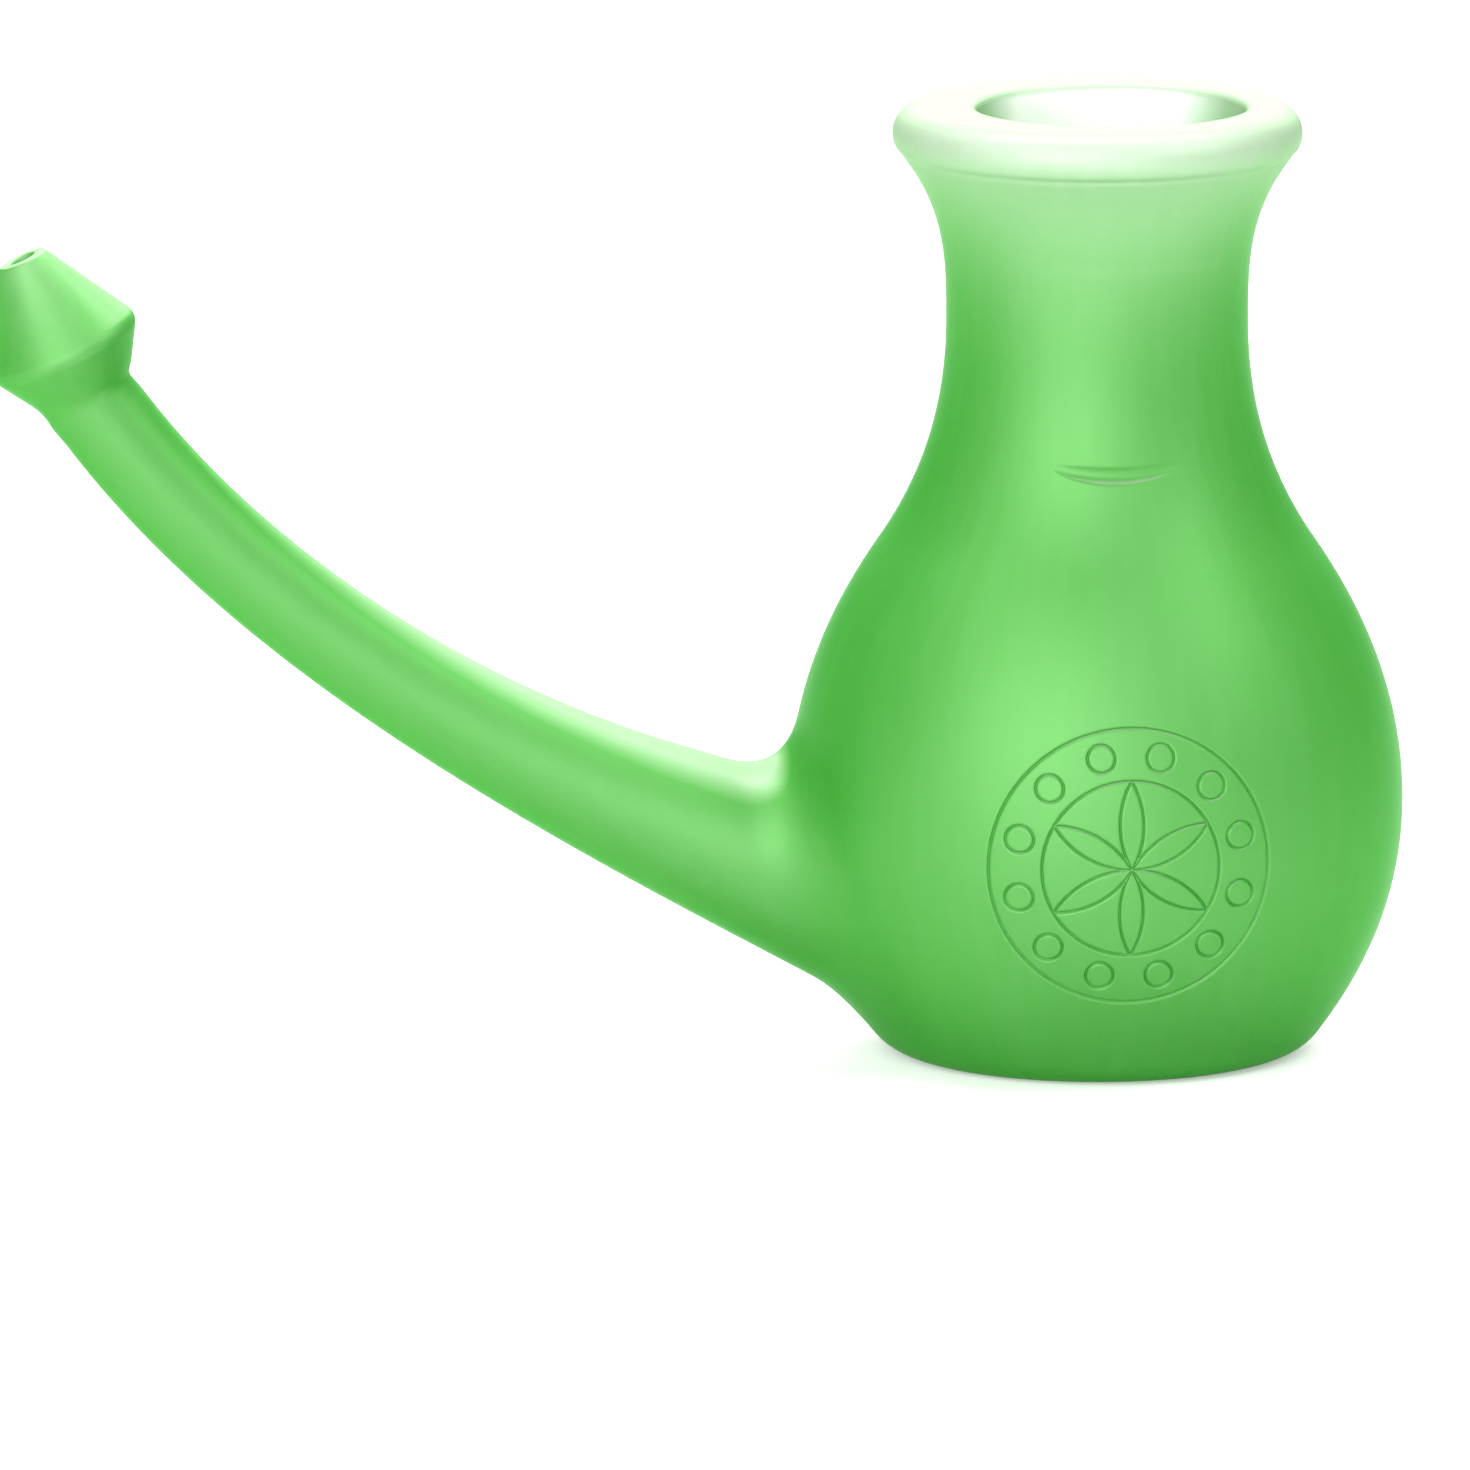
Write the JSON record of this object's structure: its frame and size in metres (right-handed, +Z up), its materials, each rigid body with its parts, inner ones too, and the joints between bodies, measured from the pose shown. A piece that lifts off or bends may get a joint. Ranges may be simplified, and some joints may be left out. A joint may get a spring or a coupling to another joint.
{
  "type": "neti pot",
  "caption": "Hollow flask with a flared lip, a flat base and a long curved spout that ends in a cone-shaped nozzle for rinsing the nose.",
  "frame": {"origin": "middle of the flat under the pot, on the axis of the round body", "axes": "+Z up along the body's axis, -X along the spout, -Y to the side with the fill mark and the ornament"},
  "size_m": [0.2068, 0.09, 0.14],
  "materials": {
    "frosted_green": "frosted, translucent"
  },
  "bodies": {
    "root": {"pot": "frosted_green"}
  },
  "joints": []
}
